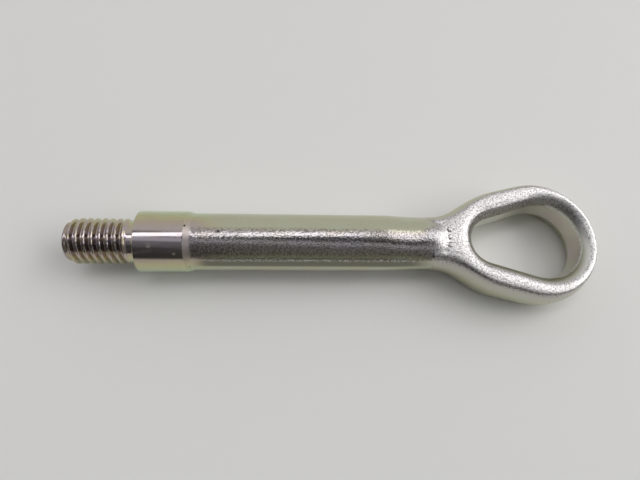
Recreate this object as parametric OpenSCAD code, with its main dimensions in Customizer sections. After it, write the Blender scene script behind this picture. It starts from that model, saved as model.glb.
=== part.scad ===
/* [Threaded end] */

// Outside diameter of the thread
thread_d = 18; // [17:0.5:20]

// Distance from one crest to the next
thread_pitch = 2.85; // [2:0.05:3.5]

// Length from the end face to the relief neck
thread_l = 23.2; // [16:0.2:30]

// Depth of the thread as a share of its pitch
thread_depth = 0.61; // [0.5:0.01:0.65]

// Length of the lead-in cone at the free end
lead_l = 3.2; // [2:0.2:4]

// Turn of the thread's start about the axis
thread_turn = 125; // [0:5:360]

// Diameter of the plain relief neck
relief_d = 16.8; // [16:0.1:17.4]

// Length of the relief neck up to the collar
relief_l = 4; // [3.5:0.5:10]

/* [Collar and shank] */

// Diameter of the turned collar
collar_d = 24.3; // [23.9:0.1:30]

// Length of the turned collar
collar_l = 18.5; // [12:0.5:30]

// Width of the small break on the collar's front edge
collar_break = 0.3; // [0.2:0.1:1]

// Length of the cone from the collar down to the shank
taper_l = 2.6; // [1.5:0.1:5]

// Diameter of the round shank
shank_d = 22.8; // [21.8:0.1:23.2]

/* [Neck] */

// Distance from the collar's front face to where the shank is thinnest
neck_x = 112; // [106:0.5:114]

// Width of the neck
neck_w = 21.6; // [18:0.2:21.8]

// Height of the neck
neck_h = 20; // [17:0.2:21.6]

// Length over which the round shank thins down to the neck
neck_l = 17; // [10:1:20]

// Distance from the collar's front face to the start of the ring's flat top
flat_x = 115.5; // [114:0.5:120]

// Distance from the collar's front face to where the outline starts to spread
spread_x = 121.7; // [119:0.1:124]

// Slope of the outline from there to the ring's shoulder
spread = 0.63; // [0.55:0.01:0.8]

/* [Ring] */

// Distance from the collar's front face to the centre of the ring's round end
ring_x = 160; // [157:0.2:166]

// Width across the ring's round end
ring_d = 51; // [49:0.2:54]

// Angle at which the outline narrows from the round end to the shoulders
side_a = 14; // [10:0.5:18]

// Height of the ring's flat top above the axis
crown = 8.6; // [7:0.1:9.6]

// Depth of the ring's flat underside below the axis
under_h = 10.8; // [10:0.1:11.2]

// Radius of the hole's round end
hole_r = 15.8; // [14:0.1:16.4]

// Radius of the hole's narrow end
hole_r2 = 9.8; // [6:0.1:10]

// Distance between the centres of the hole's two ends
hole_l = 20.4; // [18:0.2:22]

// Offset of the hole's round end from the centre of the ring's round end
hole_shift = 2.8; // [0:0.1:3]

// Height of the punched wall inside the hole
wall_h = 9.3; // [6:0.1:12]

/* [Forging marks] */

// Diameter of each raised pip on the ring's neck
pip_d = 2; // [1:0.2:3]

// Height of each pip above the surface
pip_h = 0.4; // [0.2:0.1:0.8]

// Distance from one pip to the next
pip_gap = 3.2; // [2.4:0.1:4]

/* [Hidden] */

steel = [0.66, 0.65, 0.58];

// Lines around the thread, and where its rows lie in one turn and how high
thread_n = 36;
row_at = [0.1, 0.4, 0.46, 0.54, 0.6, 0.9];
row_lift = [0, 0.88, 1, 1, 0.88, 0];

// Lines across the forging, along its neck, around the ring and across its bar
cross_n = 24;
far_n = 3;
near_n = 10;
arc_n = 10;
side_n = 11;
bar_n = 11;

thread_r = thread_d / 2;
root_r = thread_r - thread_depth * thread_pitch;
relief_r = relief_d / 2;
collar_r = collar_d / 2;
shank_r = shank_d / 2;
neck_r = neck_w / 2;
ring_r = ring_d / 2;
land = 0.35;
tuck = 0.02;
end_x = -relief_l - thread_l;
hole_x = ring_x + hole_shift;
hole_x2 = hole_x - hole_l;
hole_a = asin((hole_r - hole_r2) / hole_l);
hole_turn = 126;
forge_x = neck_x - neck_l - 3;
joint_x = flat_x + 2.5;
along_n = far_n + near_n;

// General shaping functions
function clamp01(a) = min(1, max(0, a));
function ease(a) = let (t = clamp01(a)) t * t * (3 - 2 * t);
function mix(a, b, t) = a + (b - a) * t;
function soft_min(a, b, k) =
    let (t = clamp01(0.5 + 0.5 * (b - a) / k))
    mix(b, a, t) - k * t * (1 - t);
function soft_max(a, b, k) = -soft_min(-a, -b, k);
function round_in(d, reach) = sqrt(1 - pow(1 - clamp01(d / reach), 2));
function flip(p) = [p[0], -p[1]];

// Half width of the forging seen from above
function thinning(x) = ease((x - neck_x + neck_l) / neck_l);
function ring_half(x) =
    x > ring_x - ring_r * sin(side_a)
    ? sqrt(pow(ring_r, 2) - pow(min(x, ring_x) - ring_x, 2))
    : (ring_r + (x - ring_x) * sin(side_a)) / cos(side_a);
function half_w(x) = soft_max(
    mix(shank_r - tuck, neck_r, thinning(x)),
    soft_min(ring_half(x), neck_r + spread * (x - spread_x), 2.4),
    3.3
);
function slope_w(x) = (half_w(x + 0.05) - half_w(x - 0.05)) / 0.1;

// Distance of a point in from the outline
function edge_d(x, y) =
    x > ring_x
    ? ring_r - norm([x - ring_x, y])
    : (half_w(x) - abs(y)) / sqrt(1 + pow(slope_w(x), 2));

// Distance of a point out from the hole's wall
function hole_d(x, y) =
    let (
        u = x - hole_x2,
        v = abs(y),
        t = u * cos(hole_a) + v * sin(hole_a)
    )
    t < 0
    ? norm([u, v]) - hole_r2
    : t > hole_l * cos(hole_a)
    ? norm([u - hole_l, v]) - hole_r
    : v * cos(hole_a) - u * sin(hole_a) - hole_r2;

// Half height of the round shank, which dips under the ring's flat top
function shank_top(x, y) =
    let (
        dip = clamp01((x - flat_x) / 9),
        sink = 3.2 * dip * dip + 5 * ease((x - flat_x - 7) / 10),
        b = mix(shank_r - tuck, neck_h / 2, thinning(x)) - sink
    )
    b * round_in(half_w(x) - abs(y), half_w(x));

// Half height of the ring: a steep outer side, a nearly flat crown, a rolled inner side
function ring_top(x, y) =
    let (
        t = ease((x - flat_x) / 24),
        e = edge_d(x, y),
        h = max(0, hole_d(x, y)),
        rise = 1.2 * max(0, flat_x - x),
        roll = 8 * (1 - sqrt(1 - pow(wall_h / 18.8, 2))),
        outer = mix(10.4, 11.4, t) * round_in(e, mix(9, 7.3, t)) - rise,
        inner = 9.4 * round_in(h + roll, 8),
        flat = crown - min(0.4, 0.006 * pow(e - h, 2)) - rise
    )
    soft_min(soft_min(outer, inner, 0.9), flat, 0.9);

function top(x, y) = max(land, soft_max(shank_top(x, y), ring_top(x, y), 0.5));

// The lower half matches the upper one, save that the ring's underside is deeper
function depth(p) =
    p[2]
    + (under_h - crown)
        * ease((p[0] - flat_x) / 20)
        * ease((p[2] - wall_h / 2) / (crown - wall_h / 2));

// One half of the hole's outline, from the far end round to the neck
turn_x = hole_x2 + hole_r2 * cos(hole_turn);
function hole_half(x) =
    x > hole_x - hole_r * sin(hole_a)
    ? sqrt(max(0, pow(hole_r, 2) - pow(x - hole_x, 2)))
    : x > hole_x2 - hole_r2 * sin(hole_a)
    ? (hole_r2 + (x - hole_x2) * sin(hole_a)) / cos(hole_a)
    : sqrt(max(0, pow(hole_r2, 2) - pow(x - hole_x2, 2)));
function on_circle(x, r, a) = [x + r * cos(a), r * sin(a)];
inner_half = concat(
    [for (i = [0:arc_n - 1]) on_circle(hole_x, hole_r, 90 * i / arc_n)],
    [for (i = [0:side_n - 1]) let (x = mix(hole_x, turn_x, i / side_n)) [x, hole_half(x)]],
    [for (i = [0:cross_n / 2]) on_circle(hole_x2, hole_r2, mix(hole_turn, 180, 2 * i / cross_n))]
);

// The matching half of the outer outline, which ends on the line where the neck joins
outer_half = concat(
    [for (i = [0:arc_n - 1]) on_circle(ring_x, ring_r, 90 * i / arc_n)],
    [for (i = [0:side_n - 1]) let (x = mix(ring_x, joint_x, i / side_n)) [x, half_w(x)]],
    [for (i = [0:cross_n / 2]) [joint_x, half_w(joint_x) * cos(180 * i / cross_n)]]
);
half_n = len(inner_half) - 1;
inner = concat(inner_half, [for (i = [1:half_n - 1]) flip(inner_half[half_n - i])]);
outer = concat(outer_half, [for (i = [1:half_n - 1]) flip(outer_half[half_n - i])]);
ring_n = len(inner);

// Points of the upper skin, then those below them in the lower half
function bar_at(j) = (1 - cos(180 * j / bar_n)) / 2;
function neck_at(i) =
    i < far_n
    ? mix(forge_x, joint_x - near_n, i / far_n)
    : joint_x - near_n + i - far_n;
ring_flat = [
    for (i = [0:ring_n - 1])
        for (j = [0:bar_n])
            mix(inner[i], outer[i], bar_at(j))
];
neck_flat = [
    for (i = [0:along_n - 1])
        for (j = [0:cross_n])
            [neck_at(i), half_w(neck_at(i)) * cos(180 * j / cross_n)]
];
skin = [for (p = concat(ring_flat, neck_flat)) [p[0], p[1], top(p[0], p[1])]];
skin_n = len(skin);
forge_points = concat(skin, [for (p = skin) [p[0], p[1], -depth(p)]]);

// Lie of the part on the ground: the collar's edge and the underside of the ring touch it
rest_tilt = min([for (p = skin) atan((collar_r - depth(p)) / (p[0] - collar_l))]);
rest_z = collar_l * sin(rest_tilt) + collar_r * cos(rest_tilt);
low_x = end_x * cos(rest_tilt) - root_r * sin(rest_tilt);
high_x = (ring_x + ring_r) * cos(rest_tilt) + land * sin(rest_tilt);
mid_x = (low_x + high_x) / 2;

// Faces of the two skins and of the narrow bands that join them
first_cross = arc_n + side_n;
function ring_id(i, j) = (i % ring_n) * (bar_n + 1) + j;
function neck_id(i, j) =
    i == along_n
    ? ring_id(first_cross + j, bar_n)
    : ring_n * (bar_n + 1) + i * (cross_n + 1) + j;
quads = concat(
    [for (i = [0:ring_n - 1]) for (j = [0:bar_n - 1])
        [ring_id(i, j), ring_id(i, j + 1), ring_id(i + 1, j + 1), ring_id(i + 1, j)]],
    [for (i = [0:along_n - 1]) for (j = [0:cross_n - 1])
        [neck_id(i, j), neck_id(i, j + 1), neck_id(i + 1, j + 1), neck_id(i + 1, j)]]
);
bands = concat(
    [for (i = [0:ring_n - 1]) [ring_id(i + 1, 0), ring_id(i, 0)]],
    [for (i = [0:first_cross - 1]) [ring_id(i, bar_n), ring_id(i + 1, bar_n)]],
    [for (i = [first_cross + cross_n:ring_n - 1]) [ring_id(i, bar_n), ring_id(i + 1, bar_n)]],
    [for (i = [0:along_n - 1]) [neck_id(i + 1, 0), neck_id(i, 0)]],
    [for (i = [0:along_n - 1]) [neck_id(i, cross_n), neck_id(i + 1, cross_n)]],
    [for (j = [0:cross_n - 1]) [neck_id(0, j), neck_id(0, j + 1)]]
);
forge_faces = concat(
    [for (q = quads) [q[0], q[2], q[1]]],
    [for (q = quads) [q[0], q[3], q[2]]],
    [for (q = quads) [q[0], q[1], q[2]] + [1, 1, 1] * skin_n],
    [for (q = quads) [q[0], q[2], q[3]] + [1, 1, 1] * skin_n],
    [for (e = bands) [e[0], e[1], e[1] + skin_n]],
    [for (e = bands) [e[0], e[1] + skin_n, e[0] + skin_n]]
);

// Rows of the thread. Those past either end lie flat on that end's face
row_n = len(row_at);
face_x = -relief_l + 1.5;
rows = ceil((face_x - end_x) / thread_pitch + 1.5) * row_n + 1;
function limit_r(x) = min(
    root_r + (x - end_x) * (thread_r - root_r) / lead_l,
    root_r + (face_x - x) * (relief_r - 0.1 - root_r) / 1.5
);
function thread_point(m, a) =
    let (
        x = end_x + thread_pitch * (floor(m / row_n) + row_at[m % row_n] + a / thread_n - 1.4),
        past = max(0, end_x - x, x - face_x),
        wave_r = mix(root_r, thread_r, row_lift[m % row_n]),
        r = past > 0 ? root_r - 0.8 * past : min(wave_r, limit_r(x)),
        turn = 360 * a / thread_n + thread_turn
    )
    [min(face_x, max(end_x, x)), r * cos(turn), r * sin(turn)];
thread_points = concat(
    [for (a = [0:thread_n - 1]) for (m = [0:rows - 1]) thread_point(m, a)],
    [[end_x, 0, 0], [face_x, 0, 0]]
);
function thread_id(m, a) = a < thread_n ? a * rows + m : m + row_n;
end_id = thread_n * rows;
face_id = end_id + 1;
wraps = concat(
    [for (a = [0:thread_n - 2]) for (m = [0:rows - 2]) [m, a]],
    [for (m = [0:rows - 2 - row_n]) [m, thread_n - 1]]
);
last = rows - 1;
thread_faces = concat(
    [for (w = wraps)
        [thread_id(w[0], w[1]), thread_id(w[0] + 1, w[1] + 1), thread_id(w[0], w[1] + 1)]],
    [for (w = wraps)
        [thread_id(w[0], w[1]), thread_id(w[0] + 1, w[1]), thread_id(w[0] + 1, w[1] + 1)]],
    [for (a = [0:thread_n - 2]) [thread_id(0, a), thread_id(0, a + 1), end_id]],
    [for (m = [0:row_n - 1]) [thread_id(m + 1, 0), thread_id(m, 0), thread_id(0, thread_n - 1)]],
    [[thread_id(0, thread_n - 1), thread_id(0, 0), end_id]],
    [for (a = [0:thread_n - 2]) [thread_id(last, a + 1), thread_id(last, a), face_id]],
    [for (m = [last - row_n:last - 1])
        [thread_id(last, 0), thread_id(m, thread_n - 1), thread_id(m + 1, thread_n - 1)]],
    [[thread_id(last, 0), thread_id(last, thread_n - 1), face_id]]
);

// Forged neck and ring, from the last stretch of the shank on
module forging() {
    polyhedron(points = forge_points, faces = forge_faces, convexity = 6);
}

// Rolled thread, whose ends fade into a cone at each side
module thread() {
    polyhedron(points = thread_points, faces = thread_faces, convexity = 8);
}

// Turned relief neck, collar and cone, and the plain round shank behind them
module turned() {
    rotate([0, 90, 0])
        rotate_extrude($fn = 96)
            polygon([
                [0, -relief_l],
                [relief_r, -relief_l],
                [relief_r, 0],
                [collar_r - collar_break, 0],
                [collar_r, collar_break],
                [collar_r, collar_l],
                [shank_r, collar_l + taper_l],
                [shank_r, forge_x + 1],
                [0, forge_x + 1]
            ]);
}

// Three plain pips where a forging carries its die mark
module pips() {
    for (i = [-1, 0, 1])
        translate([flat_x + 7, i * pip_gap, crown - 1])
            cylinder(h = pip_h + 1, d1 = pip_d + 0.4, d2 = pip_d - 0.6, $fn = 24);
}

module tow_eye() {
    color(steel)
        translate([-mid_x, 0, rest_z])
            rotate([0, rest_tilt, 0])
                union() {
                    turned();
                    thread();
                    forging();
                    pips();
                }
}

tow_eye();
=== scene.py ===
import bpy
import math
import numpy as np
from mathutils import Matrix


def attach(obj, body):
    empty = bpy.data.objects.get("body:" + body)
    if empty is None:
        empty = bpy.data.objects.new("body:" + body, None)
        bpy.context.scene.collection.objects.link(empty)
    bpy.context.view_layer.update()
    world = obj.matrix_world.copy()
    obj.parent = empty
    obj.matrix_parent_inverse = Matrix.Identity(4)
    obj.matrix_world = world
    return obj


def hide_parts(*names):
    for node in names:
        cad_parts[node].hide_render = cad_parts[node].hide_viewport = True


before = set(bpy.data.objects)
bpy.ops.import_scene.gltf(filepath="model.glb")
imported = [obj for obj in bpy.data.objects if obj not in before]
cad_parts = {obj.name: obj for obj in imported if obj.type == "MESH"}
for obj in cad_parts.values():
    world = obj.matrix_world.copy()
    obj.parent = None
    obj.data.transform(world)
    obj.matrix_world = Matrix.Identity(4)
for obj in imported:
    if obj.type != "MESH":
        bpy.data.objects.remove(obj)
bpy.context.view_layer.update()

# The turned end: a coarse rolled thread, a plain relief neck, a stout collar and a short
# cone. It is turned and rolled on the same steel bar that the eye is forged from, so its
# surface is smooth. All sizes are in millimetres along and round the straight part.
THREAD_R = 9.0
THREAD_PITCH = 2.85
THREAD_DEPTH = 0.61 * THREAD_PITCH
ROOT_R = THREAD_R - THREAD_DEPTH
THREAD_TURN = 125
THREAD_START = 1.4
CREST_HALF = 0.4
FLANK_W = 0.31
END_X = -27.2
END_EDGE = [(0, 6.4), (0, 6.9), (0.03, 7.05), (0.11, 7.17)]
LEAD_L = 3.2
RUN_OUT_X, RUN_OUT_L = -5.4, 2.0
FADE_X, FADE_L = -4.6, 1.6
RELIEF_R = 8.4
RELIEF_X = -2.8
COLLAR_R = 12.129
COLLAR_L = 18.5
COLLAR_EDGE = 0.3
TAPER_L = 2.6
SHANK_R = 11.4
SHANK_X = 26

AROUND = 81
PART_ANGLE = 180 / (2 * AROUND)
THREAD_ROWS = 160
NEAR_CORNER = 0.12
LONGEST_STEP = 2.0


def clamp01(a):
    return np.clip(a, 0, 1)


def ease(a):
    t = clamp01(a)
    return t * t * (3 - 2 * t)


def mix(a, b, t):
    return a + (b - a) * t


def soft_min(a, b, k):
    t = clamp01(0.5 + 0.5 * (b - a) / k)
    return mix(b, a, t) - k * t * (1 - t)


def soft_max(a, b, k):
    return -soft_min(-a, -b, k)


def bar_angles():
    """Angles of the points round the bar, in degrees from the +Y side."""
    upper = np.linspace(PART_ANGLE, 180 - PART_ANGLE, AROUND)
    return np.concatenate([upper, upper + 180])


def thread_radius(x, angle):
    """Radius of the rolled thread, which runs out into the relief neck."""
    place = (x - END_X) / THREAD_PITCH + THREAD_START - (angle - THREAD_TURN) / 360
    off_crest = np.abs(place % 1 - 0.5)
    flank = (CREST_HALF - off_crest) / FLANK_W
    lift = soft_max(soft_min(flank, 1.0, 0.06), 0.0, 0.1)
    lead = ROOT_R + (x - END_X) * (THREAD_R - ROOT_R) / LEAD_L
    crest = soft_min(np.minimum(THREAD_R, lead), THREAD_R, 0.2)
    run_out = ease((x - RUN_OUT_X) / RUN_OUT_L)
    floor_r = mix(ROOT_R, RELIEF_R, run_out)
    crest = np.maximum(mix(crest, RELIEF_R, ease((x - FADE_X) / FADE_L)), floor_r)
    return floor_r + (crest - floor_r) * lift


def rounded(points, radii, steps=5):
    """A lathe profile whose corners are rounded to the given radii."""
    out = [np.array(points[0], float)]
    for i in range(1, len(points) - 1):
        corner = np.array(points[i], float)
        back = np.array(points[i - 1], float) - corner
        on = np.array(points[i + 1], float) - corner
        back_l, on_l = np.linalg.norm(back), np.linalg.norm(on)
        back, on = back / back_l, on / on_l
        half = math.acos(np.clip(back @ on, -1, 1)) / 2
        trim = radii[i] / math.tan(half)
        inward = (back + on) / np.linalg.norm(back + on)
        middle = corner + inward * radii[i] / math.sin(half)
        first = corner + back * trim - middle
        last = corner + on * trim - middle
        span = math.acos(np.clip(first @ last / radii[i] ** 2, -1, 1))
        for s in range(steps + 1):
            t = s / steps
            spoke = math.sin((1 - t) * span) * first + math.sin(t * span) * last
            out.append(middle + spoke / math.sin(span))
    out.append(np.array(points[-1], float))
    dense = [out[0]]
    for a, b in zip(out, out[1:]):
        length = np.linalg.norm(b - a)
        if length > 0.5:
            edge = NEAR_CORNER / length
            inner = int(length / LONGEST_STEP) + 1
            stops = [edge + (1 - 2 * edge) * i / inner for i in range(inner)] + [1 - edge]
            dense += [a + (b - a) * s for s in stops]
        dense.append(b)
    return dense


def round_rows():
    """Rows of (x, y, z) points round the bar, from the free end to the shank."""
    angle = bar_angles()
    c, s = np.cos(np.radians(angle)), np.sin(np.radians(angle))
    rows = []
    for x, r in END_EDGE:
        rows.append(np.stack([np.full_like(c, END_X + x), r * c, r * s], 1))
    for x in np.linspace(END_X + 0.22, RELIEF_X - 0.1, THREAD_ROWS):
        r = thread_radius(np.full_like(angle, x), angle)
        rows.append(np.stack([np.full_like(c, x), r * c, r * s], 1))
    profile = rounded(
        [(RELIEF_X, RELIEF_R), (0, RELIEF_R), (0, COLLAR_R - COLLAR_EDGE),
         (COLLAR_EDGE, COLLAR_R), (COLLAR_L, COLLAR_R), (COLLAR_L + TAPER_L, SHANK_R),
         (SHANK_X, SHANK_R)],
        [0, 0.7, 0.12, 0.2, 0.45, 5.0, 0])
    for x, r in profile:
        rows.append(np.stack([np.full_like(c, x), r * c, r * s], 1))
    return rows


# The forging: a plain round shank that thins to a neck and opens into a pear-shaped
# eye. It is drop forged in two dies and its hole is punched, so the eye has a steep
# outer side, a nearly flat crown, a rolled inner edge and a smooth upright wall.
NECK_X = 112.0
NECK_R = 10.8
NECK_H = 20.0
NECK_L = 17.0
FLAT_X = 115.5
SPREAD_X = 121.7
SPREAD = 0.63
RING_X = 160.0
RING_R = 25.5
SIDE_A = math.radians(14)
CROWN = 8.6
UNDER_H = 10.785
HOLE_R = 15.8
HOLE_R2 = 9.8
HOLE_L = 20.4
WALL_H = 9.3
LAND = 0.35
LAND_X, LAND_L = 40, 60
HOLE_X = RING_X + 2.8
HOLE_X2 = HOLE_X - HOLE_L
HOLE_A = math.asin((HOLE_R - HOLE_R2) / HOLE_L)
HOLE_TURN = 126
JOINT_X = FLAT_X + 2.5
SIDE_H = (10.4, 11.4)
SIDE_W = (9, 7.3)
SIDE_TURN_L = 24
LOW_RISE = 1.2
ROLL_W = 8
ROLL_H = 9.4
ROLL_WALL = 18.8
SAG = 0.006
SAG_MAX = 0.4
SMOOTH = 0.9
SPREAD_SMOOTH = 2.4
NECK_SMOOTH = 3.3
DIP, DIP_L = 3.2, 9
SINK, SINK_X, SINK_L = 5, FLAT_X + 7, 10
RIM_R = (0.05, 0.3)
RIM_X, RIM_L = 160, 12
UNDER_L = 20

ARC_N = 44
SIDE_N = 40
BAR_N = 42


def round_in(d, reach):
    """A quarter of a round edge: 0 at the edge and 1 at the reach from it."""
    return np.sqrt(1 - (1 - clamp01(d / reach)) ** 2)


def half_width(x):
    """Half the width of the forging at x, for the shank, the neck and the eye."""
    shank = mix(SHANK_R, NECK_R, ease((x - NECK_X + NECK_L) / NECK_L))
    round_end = np.sqrt(np.maximum(0, RING_R ** 2 - (np.minimum(x, RING_X) - RING_X) ** 2))
    side = (RING_R + (x - RING_X) * math.sin(SIDE_A)) / math.cos(SIDE_A)
    ring = np.where(x > RING_X - RING_R * math.sin(SIDE_A), round_end, side)
    spread = NECK_R + SPREAD * (x - SPREAD_X)
    return soft_max(shank, soft_min(ring, spread, SPREAD_SMOOTH), NECK_SMOOTH)


def edge_distance(x, y):
    """How far a point lies inside the outer edge."""
    slope = (half_width(x + 0.05) - half_width(x - 0.05)) / 0.1
    along = (half_width(x) - np.abs(y)) / np.sqrt(1 + slope ** 2)
    return np.where(x > RING_X, RING_R - np.hypot(x - RING_X, y), along)


def hole_distance(x, y):
    """How far a point lies outside the edge of the pear-shaped hole."""
    u, v = x - HOLE_X2, np.abs(y)
    t = u * math.cos(HOLE_A) + v * math.sin(HOLE_A)
    flat_side = v * math.cos(HOLE_A) - u * math.sin(HOLE_A) - HOLE_R2
    d = np.where(t > HOLE_L * math.cos(HOLE_A), np.hypot(u - HOLE_L, v) - HOLE_R, flat_side)
    return np.where(t < 0, np.hypot(u, v) - HOLE_R2, d)


def shank_height(x, y):
    """The round shank, which dips away below the start of the eye."""
    dip = clamp01((x - FLAT_X) / DIP_L)
    sink = DIP * dip ** 2 + SINK * ease((x - SINK_X) / SINK_L)
    b = mix(SHANK_R, NECK_H / 2, ease((x - NECK_X + NECK_L) / NECK_L)) - sink
    return b * round_in(half_width(x) - np.abs(y), half_width(x))


def ring_height(x, y):
    """The eye's outer side, crown and rolled inner edge, smoothly joined."""
    t = ease((x - FLAT_X) / SIDE_TURN_L)
    e = edge_distance(x, y)
    h = np.maximum(0, hole_distance(x, y))
    rise = LOW_RISE * np.maximum(0, FLAT_X - x)
    roll = ROLL_W * (1 - math.sqrt(1 - (WALL_H / ROLL_WALL) ** 2))
    outer = mix(*SIDE_H, t) * round_in(e, mix(*SIDE_W, t)) - rise
    inner = ROLL_H * round_in(h + roll, ROLL_W)
    flat = CROWN - np.minimum(SAG_MAX, SAG * (e - h) ** 2) - rise
    return soft_min(soft_min(outer, inner, SMOOTH), flat, SMOOTH)


def forged_height(x, y):
    """Height of the forging's upper half over the line where the dies part."""
    land = mix(SHANK_R * math.sin(math.radians(PART_ANGLE)), LAND, ease((x - LAND_X) / LAND_L))
    z = np.maximum(land, soft_max(shank_height(x, y), ring_height(x, y), 0.5))
    h = np.maximum(0, hole_distance(x, y))
    rim_r = mix(*RIM_R, ease((x - RIM_X) / RIM_L))
    rim = rim_r * (1 - np.sqrt(1 - clamp01(1 - h / rim_r) ** 2))
    return z - np.where(x > JOINT_X, rim, 0)


def forged_depth(x, z):
    """Depth of the lower half, which has the same form and lies deeper under the eye."""
    under = ease((x - FLAT_X) / UNDER_L) * ease((z - WALL_H / 2) / (CROWN - WALL_H / 2))
    return z + (UNDER_H - CROWN) * under


def forged_rows():
    """Rows round the shank and the neck, up to the line where the eye starts."""
    turn = np.radians(np.linspace(0, 180, AROUND))
    stops = np.concatenate([np.linspace(29, 92, 26), np.linspace(93.5, JOINT_X - 12, 10),
                            np.linspace(JOINT_X - 11.2, JOINT_X, 26)])
    rows = []
    for x in stops:
        straight = np.radians(np.linspace(PART_ANGLE, 180 - PART_ANGLE, AROUND))
        c = mix(np.cos(straight), np.cos(turn), ease((x - LAND_X) / LAND_L))
        y = half_width(x) * c
        z = forged_height(np.full_like(y, x), y)
        if x < 90:
            z = SHANK_R * np.sqrt(np.maximum(0, 1 - c ** 2))
        upper = np.stack([np.full_like(y, x), y, z], 1)
        lower = np.stack([np.full_like(y, x), -y, -forged_depth(x, z)[::-1]], 1)
        rows.append(np.concatenate([upper, lower]))
    return rows


def hole_half(x):
    """Half the width of the hole at x."""
    round_end = np.sqrt(np.maximum(0, HOLE_R ** 2 - (x - HOLE_X) ** 2))
    side = (HOLE_R2 + (x - HOLE_X2) * math.sin(HOLE_A)) / math.cos(HOLE_A)
    narrow = np.sqrt(np.maximum(0, HOLE_R2 ** 2 - (x - HOLE_X2) ** 2))
    if x > HOLE_X - HOLE_R * math.sin(HOLE_A):
        return round_end
    return side if x > HOLE_X2 - HOLE_R2 * math.sin(HOLE_A) else narrow


def eye_outlines():
    """Matching points round the hole and round the outer edge of the eye."""
    arc = np.radians(90 * np.arange(ARC_N) / ARC_N)
    side = np.arange(SIDE_N) / SIDE_N
    half_cross = AROUND // 2
    turn_x = HOLE_X2 + HOLE_R2 * math.cos(math.radians(HOLE_TURN))
    side_x = mix(HOLE_X, turn_x, side)
    end = np.radians(mix(HOLE_TURN, 180, np.arange(half_cross + 1) / half_cross))
    inner = np.concatenate([
        np.stack([HOLE_X + HOLE_R * np.cos(arc), HOLE_R * np.sin(arc)], 1),
        np.stack([side_x, [hole_half(x) for x in side_x]], 1),
        np.stack([HOLE_X2 + HOLE_R2 * np.cos(end), HOLE_R2 * np.sin(end)], 1)])
    out_x = mix(RING_X, JOINT_X, side)
    cross = np.radians(180 * np.arange(half_cross + 1) / (AROUND - 1))
    outer = np.concatenate([
        np.stack([RING_X + RING_R * np.cos(arc), RING_R * np.sin(arc)], 1),
        np.stack([out_x, half_width(out_x)], 1),
        np.stack([np.full(half_cross + 1, JOINT_X), half_width(JOINT_X) * np.cos(cross)], 1)])
    flip = np.array([1, -1])
    inner = np.concatenate([inner, (inner * flip)[-2:0:-1]])
    outer = np.concatenate([outer, (outer * flip)[-2:0:-1]])
    return inner, outer


def eye_skin():
    """The eye's upper surface, as rows from the hole out to the edge."""
    inner, outer = eye_outlines()
    across = (1 - np.cos(np.pi * np.arange(BAR_N + 1) / BAR_N)) / 2
    flat = inner[:, None] + (outer - inner)[:, None] * across[None, :, None]
    x, y = flat[..., 0], flat[..., 1]
    z = forged_height(x, y)
    return x, y, z


points = []
faces = []
finish = []
TURNED, FORGED, PUNCHED = 0, 1, 2

rows = round_rows() + forged_rows()
row_n = 2 * AROUND
for row in rows:
    points += row.tolist()
for i in range(len(rows) - 1):
    kind = TURNED if rows[i + 1][0][0] < COLLAR_L + 0.2 else FORGED
    for j in range(row_n):
        k = (j + 1) % row_n
        faces.append((i * row_n + j, i * row_n + k, (i + 1) * row_n + k, (i + 1) * row_n + j))
        finish.append(kind)
points.append([END_X, 0, 0])
for j in range(row_n):
    faces.append((len(points) - 1, (j + 1) % row_n, j))
    finish.append(TURNED)

eye_x, eye_y, eye_z = eye_skin()
eye_n, eye_m = eye_x.shape
first_cross = ARC_N + SIDE_N
joint_row = (len(rows) - 1) * row_n
upper_id = np.zeros((eye_n, eye_m), int)
lower_id = np.zeros((eye_n, eye_m), int)
for i in range(eye_n):
    for j in range(eye_m):
        crossing = i - first_cross
        if j == eye_m - 1 and 0 <= crossing < AROUND:
            upper_id[i, j] = joint_row + crossing
            lower_id[i, j] = joint_row + row_n - 1 - crossing
            continue
        upper_id[i, j] = len(points)
        points.append([eye_x[i, j], eye_y[i, j], eye_z[i, j]])
        lower_id[i, j] = len(points)
        depth = float(forged_depth(eye_x[i, j], eye_z[i, j]))
        points.append([eye_x[i, j], eye_y[i, j], -depth])
for i in range(eye_n):
    k = (i + 1) % eye_n
    for j in range(eye_m - 1):
        faces.append((upper_id[i, j], upper_id[i, j + 1], upper_id[k, j + 1], upper_id[k, j]))
        faces.append((lower_id[i, j], lower_id[k, j], lower_id[k, j + 1], lower_id[i, j + 1]))
        finish += [FORGED, FORGED]
    faces.append((upper_id[i, 0], upper_id[k, 0], lower_id[k, 0], lower_id[i, 0]))
    finish.append(PUNCHED)
    if not first_cross <= i < first_cross + AROUND - 1:
        faces.append((upper_id[i, -1], lower_id[i, -1], lower_id[k, -1], upper_id[k, -1]))
        finish.append(FORGED)

# Three plain round pips stand on the neck of the eye, raised by the die. Each is a stack
# of rings from its sunk foot to its rounded top, closed by a point above and below.
PIP_X = 122.5
PIP_GAP = 3.2
PIP_Z = CROWN - 0.1
PIP_TOP = 0.43
PIP_RINGS = [(1.28, -0.25), (1.2, 0.0), (1.12, 0.16), (0.98, 0.3), (0.76, 0.385), (0.4, 0.42)]
PIP_SIDES = 28

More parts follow.
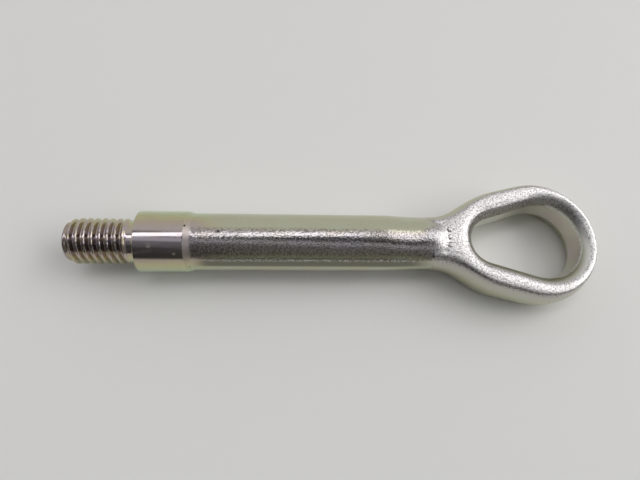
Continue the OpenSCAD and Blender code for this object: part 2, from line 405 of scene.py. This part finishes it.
for n in (-1, 0, 1):
    first = len(points)
    pip_y = n * PIP_GAP
    for r, up in PIP_RINGS:
        for j in range(PIP_SIDES):
            a = 2 * math.pi * j / PIP_SIDES
            points.append([PIP_X + r * math.cos(a), pip_y + r * math.sin(a), PIP_Z + up])
    top, foot = len(points), len(points) + 1
    points.append([PIP_X, pip_y, PIP_Z + PIP_TOP])
    points.append([PIP_X, pip_y, PIP_Z + PIP_RINGS[0][1]])
    for j in range(PIP_SIDES):
        k = (j + 1) % PIP_SIDES
        for low in range(first, top - PIP_SIDES, PIP_SIDES):
            high = low + PIP_SIDES
            faces.append((low + j, low + k, high + k, high + j))
        faces.append((top - PIP_SIDES + j, top - PIP_SIDES + k, top))
        faces.append((first + k, first + j, foot))
    finish += [FORGED] * (PIP_SIDES * (len(PIP_RINGS) + 1))

# The part lies on the collar's edge and on the underside of the eye. Its mesh is turned
# and set down into the shared frame, in metres, and its edges are sharp at steep angles.
REST_TILT = math.radians(0.52879)
REST_Z = 12.3202
MID_X = 79.1147
SHARP_A = 50

straight = np.array(points)
tilt_c, tilt_s = math.cos(REST_TILT), math.sin(REST_TILT)
lying = np.stack([straight[:, 0] * tilt_c + straight[:, 2] * tilt_s - MID_X,
                  straight[:, 1],
                  straight[:, 2] * tilt_c - straight[:, 0] * tilt_s + REST_Z], 1) / 1000
steel_mesh = bpy.data.meshes.new("tow_eye_steel")
steel_mesh.from_pydata(lying.tolist(), [], faces)
steel_mesh.polygons.foreach_set("use_smooth", [True] * len(faces))
steel_mesh.polygons.foreach_set("material_index", finish)
steel_mesh.validate()
steel_mesh.update()
steel_mesh.set_sharp_from_angle(angle=math.radians(SHARP_A))
wall_ends = set(upper_id[:, 0].tolist()) | set(lower_id[:, 0].tolist())
for edge in steel_mesh.edges:
    a, b = edge.vertices
    if a in wall_ends and b in wall_ends and (points[a][2] > 0) == (points[b][2] > 0):
        edge.use_edge_sharp = True
steel = bpy.data.objects.new("tow_eye_steel", steel_mesh)
bpy.context.scene.collection.objects.link(steel)

# The plating is zinc with a yellow passivate. Its thin film is green on the flanks, olive
# and gold higher up and mauve on top, it drifts in soft patches and it washes out to grey
# where the steel below it is rough.
FILM_TOP = (0, -0.3, 0.954)
FILM_COLOURS = [
    (0.0, (0.61, 0.70, 0.53)), (0.28, (0.59, 0.68, 0.49)), (0.45, (0.56, 0.61, 0.41)),
    (0.57, (0.56, 0.565, 0.345)), (0.66, (0.56, 0.53, 0.33)), (0.74, (0.55, 0.48, 0.34)),
    (0.8, (0.54, 0.457, 0.365)), (0.86, (0.53, 0.453, 0.40)), (0.93, (0.54, 0.47, 0.46)),
    (1.0, (0.58, 0.52, 0.57))]
WASHED_OUT = (0.585, 0.57, 0.56)


def node(tree, kind, inputs=None, **settings):
    """A shader node with its settings and the values or links of its inputs."""
    made = tree.nodes.new(kind)
    for key, value in settings.items():
        setattr(made, key, value)
    for key, value in (inputs or {}).items():
        if isinstance(value, bpy.types.NodeSocket):
            tree.links.new(value, made.inputs[key])
        else:
            made.inputs[key].default_value = value
    return made


def maths(tree, operation, a, b=0.0, c=0.0):
    return node(tree, "ShaderNodeMath", {0: a, 1: b, 2: c}, operation=operation).outputs[0]


def toward(tree, colour, other, share):
    """A colour mixed with a constant one by a mask or a number."""
    return node(tree, "ShaderNodeMix", {0: share, 6: colour, 7: (*other, 1)},
                data_type="RGBA").outputs[2]


def noise(tree, place, scale, **settings):
    """The grey value of a noise whose scale is per unit of place."""
    inputs = {"Vector": place, "Scale": scale, **settings}
    return node(tree, "ShaderNodeTexNoise", inputs).outputs["Fac"]


def fill_ramp(ramp, stops):
    """Gives a colour ramp its stops, which are pairs of a position and a colour."""
    elements = ramp.color_ramp.elements
    while len(elements) < len(stops):
        elements.new(0.5)
    for element, (at, colour) in zip(elements, stops):
        element.position = at
        element.color = (*colour, 1)


def new_group(name, inputs, outputs):
    """A node group with named inputs and outputs."""
    group = bpy.data.node_groups.new(name, "ShaderNodeTree")
    for label, kind, value in inputs:
        made = group.interface.new_socket(label, in_out="INPUT", socket_type=kind)
        if value is not None:
            made.default_value = value
    for label, kind in outputs:
        group.interface.new_socket(label, in_out="OUTPUT", socket_type=kind)
    entry = group.nodes.new("NodeGroupInput")
    leave = group.nodes.new("NodeGroupOutput")
    return group, entry.outputs, leave.inputs


film, film_in, film_out = new_group(
    "passivate_film",
    [("Place", "NodeSocketVector", None), ("Facing", "NodeSocketFloat", 1.0),
     ("Patch Size", "NodeSocketFloat", 9.0), ("Drift", "NodeSocketFloat", 0.3),
     ("Wash", "NodeSocketFloat", 0.0)],
    [("Color", "NodeSocketColor")])
patches = noise(film, film_in["Place"], maths(film, "DIVIDE", 1.0, film_in["Patch Size"]),
                Detail=3.0, Roughness=0.55)
wander = maths(film, "SUBTRACT", patches, 0.5)
thickness = maths(film, "MULTIPLY_ADD", wander, film_in["Drift"], film_in["Facing"])
ramp = node(film, "ShaderNodeValToRGB", {"Fac": thickness})
fill_ramp(ramp, FILM_COLOURS)
washed = toward(film, ramp.outputs["Color"], WASHED_OUT, film_in["Wash"])
film.links.new(washed, film_out["Color"])

# Shot blasting leaves fine overlapping dimples all over what was forged. Their floors hold
# a little dull dirt with painted shade, and their crowns carry painted glints.
DIMPLE_SIZE = 0.65


def times(tree, *factors):
    """The product of masks and numbers."""
    product = factors[0]
    for factor in factors[1:]:
        product = maths(tree, "MULTIPLY", product, factor)
    return product


def spread_map(tree, value, low, high, to_low=0.0, to_high=1.0):
    """A soft step from to_low, where the value is low, to to_high, where it is high."""
    return node(tree, "ShaderNodeMapRange",
                {"Value": value, "From Min": low, "From Max": high,
                 "To Min": to_low, "To Max": to_high}, interpolation_type="SMOOTHSTEP").outputs[0]


blast, blast_in, blast_out = new_group(
    "shot_dimples",
    [("Place", "NodeSocketVector", None), ("Dimple Size", "NodeSocketFloat", DIMPLE_SIZE)],
    [("Height", "NodeSocketFloat"), ("Pits", "NodeSocketFloat"), ("Crowns", "NodeSocketFloat")])
dimple_scale = maths(blast, "DIVIDE", 1.0, blast_in["Dimple Size"])
grit = noise(blast, blast_in["Place"], dimple_scale, Detail=1.0, Roughness=0.5)
dents = node(blast, "ShaderNodeTexVoronoi",
             {"Vector": blast_in["Place"], "Scale": times(blast, dimple_scale, 0.8)},
             feature="SMOOTH_F1").outputs["Distance"]
rolling = noise(blast, blast_in["Place"], times(blast, dimple_scale, 0.22), Detail=1.0)
height = maths(blast, "ADD", times(blast, dents, 0.3),
               maths(blast, "MULTIPLY_ADD", rolling, 0.6, grit))
blast.links.new(height, blast_out["Height"])
blast.links.new(spread_map(blast, grit, 0.48, 0.34), blast_out["Pits"])
blast.links.new(spread_map(blast, grit, 0.54, 0.66), blast_out["Crowns"])

# What was turned and rolled is smooth and glossy, with faint drawn-out streaks along the
# collar, two light scuffs on it, and a little painted brown shade in the grooves of the thread.
GROOVE_SHADE = (0.15, 0.105, 0.1)
SCUFF_LIGHT = (0.85, 0.84, 0.82)
SCUFFS = [((6.2, -5.5, 10.8), 1.0), ((15.4, -7.8, 9.3), 0.8)]


def plated_steel(name):
    """A metal material with the straight part's frame in millimetres."""
    made = bpy.data.materials.new(name)
    made.use_nodes = True
    tree = made.node_tree
    shader = tree.nodes["Principled BSDF"]
    shader.inputs["Metallic"].default_value = 1.0
    coords = node(tree, "ShaderNodeTexCoord")
    place = node(tree, "ShaderNodeMapping",
                 {"Vector": coords.outputs["Object"],
                  "Location": (-MID_X / 1000, 0, REST_Z / 1000),
                  "Rotation": (0, REST_TILT, 0),
                  "Scale": (0.001, 0.001, 0.001)}, vector_type="TEXTURE")
    leaning = node(tree, "ShaderNodeVectorMath", {0: coords.outputs["Normal"], 1: FILM_TOP},
                   operation="DOT_PRODUCT")
    facing = maths(tree, "ABSOLUTE", leaning.outputs["Value"])
    return made, tree, shader, place.outputs[0], facing


def plate(tree, place, facing, patch, drift, wash):
    """The colour of the passivate film over a plated material."""
    inputs = {"Place": place, "Facing": facing, "Patch Size": patch, "Drift": drift, "Wash": wash}
    return node(tree, "ShaderNodeGroup", inputs, node_tree=film).outputs["Color"]


def varied(tree, mask, by, start):
    """A setting that has the value start, and by more where the mask is 1."""
    return maths(tree, "MULTIPLY_ADD", mask, by, start)


def blend(tree, a, b, mask):
    """The value a where the mask is 0 and the value b where it is 1."""
    return maths(tree, "ADD", times(tree, a, maths(tree, "SUBTRACT", 1.0, mask)),
                 times(tree, b, mask))


def spots(tree, place, marks):
    """Small ragged marks about points of the part, given with their reach in millimetres."""
    ragged = noise(tree, place, 1.4, Detail=1.0)
    total = 0.0
    for at, reach in marks:
        away = node(tree, "ShaderNodeVectorMath", {0: place, 1: at}, operation="DISTANCE")
        edge = maths(tree, "MULTIPLY_ADD", ragged, reach * 1.6, away.outputs["Value"])
        total = maths(tree, "ADD", total, spread_map(tree, edge, reach * 2.0, reach * 1.3))
    return total


turned, tree, shader, place, facing = plated_steel("plated_turned")
along = node(tree, "ShaderNodeSeparateXYZ", {0: place}).outputs
thread_part = spread_map(tree, along["X"], -2.4, -3.6)
from_axis = maths(tree, "SQRT", maths(tree, "ADD", maths(tree, "POWER", along["Y"], 2.0),
                                      maths(tree, "POWER", along["Z"], 2.0)))
raised = maths(tree, "DIVIDE", maths(tree, "ADD", times(tree, along["Y"], FILM_TOP[1]),
                                     times(tree, along["Z"], FILM_TOP[2])), from_axis)
risen = varied(tree, maths(tree, "ABSOLUTE", raised), 0.38, 0.55)
colour = plate(tree, place, blend(tree, facing, risen, thread_part),
               varied(tree, thread_part, -5.2, 7.0), varied(tree, thread_part, 0.65, 0.25), 0.0)
# Painted shade: the thread's grooves are darkened toward brown.
in_groove = times(tree, spread_map(tree, from_axis, 8.75, 7.7), thread_part)
colour = toward(tree, colour, GROOVE_SHADE, times(tree, in_groove, 0.3))
scuffs = spots(tree, place, SCUFFS)
colour = toward(tree, colour, SCUFF_LIGHT, times(tree, scuffs, 0.35))
tree.links.new(colour, shader.inputs["Base Color"])
drawn_out = node(tree, "ShaderNodeVectorMath", {0: place, 1: (0.12, 1.0, 1.0)},
                 operation="MULTIPLY").outputs[0]
streaks = spread_map(tree, noise(tree, drawn_out, 1.1, Detail=2.0), 0.52, 0.7)
rubbed = varied(tree, streaks, 0.14, 0.12)
tree.links.new(varied(tree, scuffs, 0.22, rubbed), shader.inputs["Roughness"])
steel_mesh.materials.append(turned)

# What was forged is speckled all over, save on the smooth cone behind the collar: a little
# dirt in the dimples, and painted glints and painted shade that are strongest on the tops,
# where the lamp's highlight falls. It has painted light on the end of the eye's crown, is
# darker along a band of the shank's low side, and has fine lines of bright dots that are
# painted highlights: two along the shank and one round the hole.
END_CROWN_LIGHT = (0.95, 0.94, 0.93)
CROWN_GLINT = (0.78, 0.79, 0.82)
PIT_DIRT_AND_SHADE = (0.1, 0.098, 0.085)
LOW_SIDE_GREY = (0.09, 0.088, 0.075)
GLINT_LINE_WHITE = (0.97, 0.97, 0.98)
RIM_GLINT_WHITE = (0.98, 0.98, 0.98)
SPECK_DARK = (0.03, 0.027, 0.022)
SPECKS = [((31.7, 0.6, 11.4), 0.5), ((19.0, 2.6, 11.7), 0.5), ((20.3, -11.0, 3.0), 0.4),
          ((152.0, -19.0, 6.2), 0.6), ((146.0, -21.5, 4.2), 0.5)]


def band(tree, value, start, full, fade, end):
    """A mask that is 1 where the value lies from full to fade."""
    return times(tree, spread_map(tree, value, end, fade), spread_map(tree, value, start, full))


forged, tree, shader, place, facing = plated_steel("plated_forged")
along = node(tree, "ShaderNodeSeparateXYZ", {0: place}).outputs["X"]
normal = node(tree, "ShaderNodeTexCoord").outputs["Normal"]
sideways = node(tree, "ShaderNodeSeparateXYZ", {0: normal}).outputs["Y"]
cone_part = spread_map(tree, along, 21.7, 20.5)
start_part = spread_map(tree, along, 36.0, 21.0)
shank_part = times(tree, spread_map(tree, along, 119.0, 106.0),
                   spread_map(tree, along, 20.0, 28.0))
eye_part = spread_map(tree, along, 110.0, 120.0)
crown_part = times(tree, eye_part, spread_map(tree, facing, 0.3, 0.6))

evened = spread_map(tree, facing, varied(tree, eye_part, -0.31, 0.86),
                    varied(tree, eye_part, -0.12, 0.97), 0.55, 0.97)
evened = blend(tree, evened, facing, start_part)
wash = varied(tree, start_part, -0.3, varied(tree, crown_part, 0.4, 0.35))
colour = plate(tree, place, evened, 10.0, 0.3, wash)
# Painted light: the end of the eye's crown is lightened where it faces up.
painted_end_light = times(tree, spread_map(tree, along, 166.0, 182.0),
                   spread_map(tree, facing, 0.45, 0.7))
colour = toward(tree, colour, END_CROWN_LIGHT, times(tree, painted_end_light, 0.7))

skin = node(tree, "ShaderNodeGroup", {"Place": place}, node_tree=blast).outputs
rough_top = spread_map(tree, facing, varied(tree, eye_part, -0.24, 0.85),
                       varied(tree, eye_part, -0.12, 0.92))
blasted = varied(tree, cone_part, -0.85, 1.0)
# Weight of the speckle: low everywhere and high on the tops, where its bright crowns are painted
# glints and its dark floors are painted shade.
glint_speckle = varied(tree, rough_top, varied(tree, eye_part, 0.4, 0.95), 0.08)
glint_speckle = times(tree, glint_speckle, blasted)
colour = toward(tree, colour, CROWN_GLINT, times(tree, skin["Crowns"], 0.5, glint_speckle))
# Painted shade: the tops, where the lamp's highlight falls, are darkened, most on the shank.
shaded_top = times(tree, rough_top, blasted, varied(tree, eye_part, -0.18, 0.24))
# Dark in the dimples' floors, which is a little dirt and painted shade, plus the painted shade on
# the tops.
dirt_and_shade = maths(tree, "MULTIPLY_ADD", times(tree, skin["Pits"], 0.4), glint_speckle, shaded_top)
colour = toward(tree, colour, PIT_DIRT_AND_SHADE, dirt_and_shade)

# Darker along a band of the shank's low side.
low_side = band(tree, sideways, -0.985, -0.94, -0.8, -0.74)
colour = toward(tree, colour, LOW_SIDE_GREY, times(tree, low_side, shank_part, 0.78))
sparks = noise(tree, place, 2.1, Detail=0.0)
# Painted highlights: dotted lines of glints along the shank's low side and far side.
low_line = band(tree, sideways, -0.87, -0.845, -0.815, -0.79)
far_line = band(tree, sideways, 0.57, 0.6, 0.61, 0.64)
lines = maths(tree, "MULTIPLY_ADD", far_line, 0.3, low_line)
glint_dots = times(tree, lines, shank_part, spread_map(tree, sparks, 0.52, 0.64, 0.0, 0.42))
colour = toward(tree, colour, GLINT_LINE_WHITE, glint_dots)
from_hole = node(tree, "ShaderNodeVectorMath", {0: place, 1: (HOLE_X, 0, WALL_H / 2)},
                 operation="DISTANCE").outputs["Value"]
rim_line = times(tree, spread_map(tree, from_hole, HOLE_R + 0.55, HOLE_R + 0.35),
                 spread_map(tree, along, 165.0, 168.0))
# Painted highlight: a dotted line of glints round the hole's rim at the eye's end.
rim_glint_dots = times(tree, rim_line, spread_map(tree, sparks, 0.3, 0.4))
colour = toward(tree, colour, RIM_GLINT_WHITE, rim_glint_dots)
colour = toward(tree, colour, SPECK_DARK, spots(tree, place, SPECKS))
tree.links.new(colour, shader.inputs["Base Color"])

coarse = times(tree, band(tree, sideways, -0.93, -0.86, -0.52, -0.4), shank_part)
fine = times(tree, varied(tree, eye_part, 0.00004, 0.00006), varied(tree, rough_top, 0.8, 0.2))
deep = times(tree, varied(tree, coarse, 0.00003, fine), blasted)
bump = node(tree, "ShaderNodeBump", {"Height": skin["Height"], "Distance": deep})
tree.links.new(bump.outputs["Normal"], shader.inputs["Normal"])
roughness = varied(tree, eye_part, 0.18, varied(tree, cone_part, 0.2, 0.17))
tree.links.new(varied(tree, rim_line, 0.15, roughness), shader.inputs["Roughness"])
steel_mesh.materials.append(forged)

# The wall of the hole was drawn smooth by the punch and shines through a thinner film,
# which turns from green to mauve toward the end of the eye.
WALL_BRIGHT = (0.98, 0.93, 0.9)

punched, tree, shader, place, facing = plated_steel("plated_punched")
wall_at = node(tree, "ShaderNodeSeparateXYZ", {0: place}).outputs
drawn = times(tree, spread_map(tree, wall_at["X"], 158.0, 170.0),
              spread_map(tree, wall_at["Y"], -11.0, -5.0))
colour = plate(tree, place, varied(tree, drawn, 0.36, 0.42), 9.0, 0.7, 0.1)
colour = toward(tree, colour, WALL_BRIGHT, 0.5)
tree.links.new(colour, shader.inputs["Base Color"])
shader.inputs["Roughness"].default_value = 0.3
steel_mesh.materials.append(punched)

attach(steel, "root")
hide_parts("tow_eye")

# The studio: a plain pale floor that runs well past the view, a long soft lamp over the
# part and a broad panel beyond the eye's end. The room is pale on its far side and dark
# on the near side, with a brighter patch high up at the eye's end.
FLOOR_HALF = 3
FLOOR_COLOUR = (0.88, 0.872, 0.855)

floor_mesh = bpy.data.meshes.new("studio_floor")
floor_mesh.from_pydata(
    [(-FLOOR_HALF, -FLOOR_HALF, 0), (FLOOR_HALF, -FLOOR_HALF, 0),
     (FLOOR_HALF, FLOOR_HALF, 0), (-FLOOR_HALF, FLOOR_HALF, 0)], [], [(0, 1, 2, 3)])
floor = bpy.data.objects.new("studio_floor", floor_mesh)
floor.location = (0, 0, -0.0001)
bpy.context.scene.collection.objects.link(floor)
floor_paint = bpy.data.materials.new("studio_floor_paint")
floor_paint.use_nodes = True
paint = floor_paint.node_tree.nodes["Principled BSDF"]
paint.inputs["Base Color"].default_value = (*FLOOR_COLOUR, 1)
paint.inputs["Roughness"].default_value = 0.6
floor_mesh.materials.append(floor_paint)


def area_lamp(name, size, energy, location, turn):
    """A rectangular lamp that faces down before it is turned, with angles in degrees."""
    data = bpy.data.lights.new(name, "AREA")
    data.shape = "RECTANGLE"
    data.size, data.size_y = size
    data.energy = energy
    lamp = bpy.data.objects.new(name, data)
    lamp.location = location
    lamp.rotation_euler = [math.radians(a) for a in turn]
    bpy.context.scene.collection.objects.link(lamp)


area_lamp("long_lamp", (1.05, 0.26), 1.75, (-0.25, 0.22, 1.2), (-12, 0, 20))
area_lamp("broad_panel", (1.05, 0.9), 4.0, (1.0, 0.55, 1.25), (0, 0, 0))

# The room's colours run from its near side over the top to its far side.
WALL_COLOURS = [
    (0.0, (0.4, 0.4, 0.39)), (0.015, (0.4, 0.4, 0.39)), (0.03, (0.04, 0.04, 0.04)),
    (0.22, (0.06, 0.06, 0.06)), (0.26, (0.13, 0.13, 0.13)), (0.33, (0.16, 0.16, 0.16)),
    (0.355, (0.2, 0.2, 0.2)), (0.362, (0.44, 0.44, 0.45)), (0.435, (0.44, 0.44, 0.45)),
    (0.45, (0.05, 0.05, 0.05)), (0.545, (0.08, 0.08, 0.08)), (0.58, (0.56, 0.56, 0.56)),
    (0.66, (0.62, 0.62, 0.62)), (1.0, (0.6, 0.6, 0.59))]
NEAR_SIDE_GREY = (0.17, 0.17, 0.15)
END_PATCH = (3.3, 3.3, 3.26)
BACKDROP = (0.8, 0.8, 0.79)

room = bpy.data.worlds.new("pale_room")
bpy.context.scene.world = room
room.use_nodes = True
sky = room.node_tree
outward = node(sky, "ShaderNodeTexCoord").outputs["Generated"]
direction = node(sky, "ShaderNodeSeparateXYZ", {0: outward}).outputs
across = maths(sky, "ARCTAN2", direction["Y"], direction["Z"])
skew = times(sky, direction["X"], direction["Z"], 0.2)
lean = maths(sky, "ADD", maths(sky, "MULTIPLY_ADD", across, 1 / math.pi, 0.5), skew)
walls = node(sky, "ShaderNodeValToRGB", {"Fac": lean})
fill_ramp(walls, WALL_COLOURS)
near_side = times(sky, spread_map(sky, direction["X"], -0.24, -0.08),
                  band(sky, lean, 0.03, 0.05, 0.26, 0.32))
light = toward(sky, walls.outputs["Color"], NEAR_SIDE_GREY, near_side)
overhead = times(sky, spread_map(sky, direction["Z"], 0.4, 0.48),
                 spread_map(sky, lean, 0.36, 0.42))
end_patch = times(sky, spread_map(sky, direction["X"], 0.62, 0.7), overhead)
light = toward(sky, light, END_PATCH, end_patch)
seen = node(sky, "ShaderNodeLightPath").outputs["Is Camera Ray"]
sky.links.new(toward(sky, light, BACKDROP, seen), sky.nodes["Background"].inputs["Color"])

camera_data = bpy.data.cameras.new("camera")
camera_data.sensor_width = 36
camera_data.lens = 25.5393
camera_data.clip_start = 0.01
camera = bpy.data.objects.new("camera", camera_data)
camera.location = (-0.019333, -0.057668, 0.187157)
camera.rotation_euler = [math.radians(a) for a in (18.547, -3.4121, -0.8294)]
bpy.context.scene.collection.objects.link(camera)
bpy.context.scene.camera = camera
bpy.context.scene.view_settings.view_transform = "Standard"
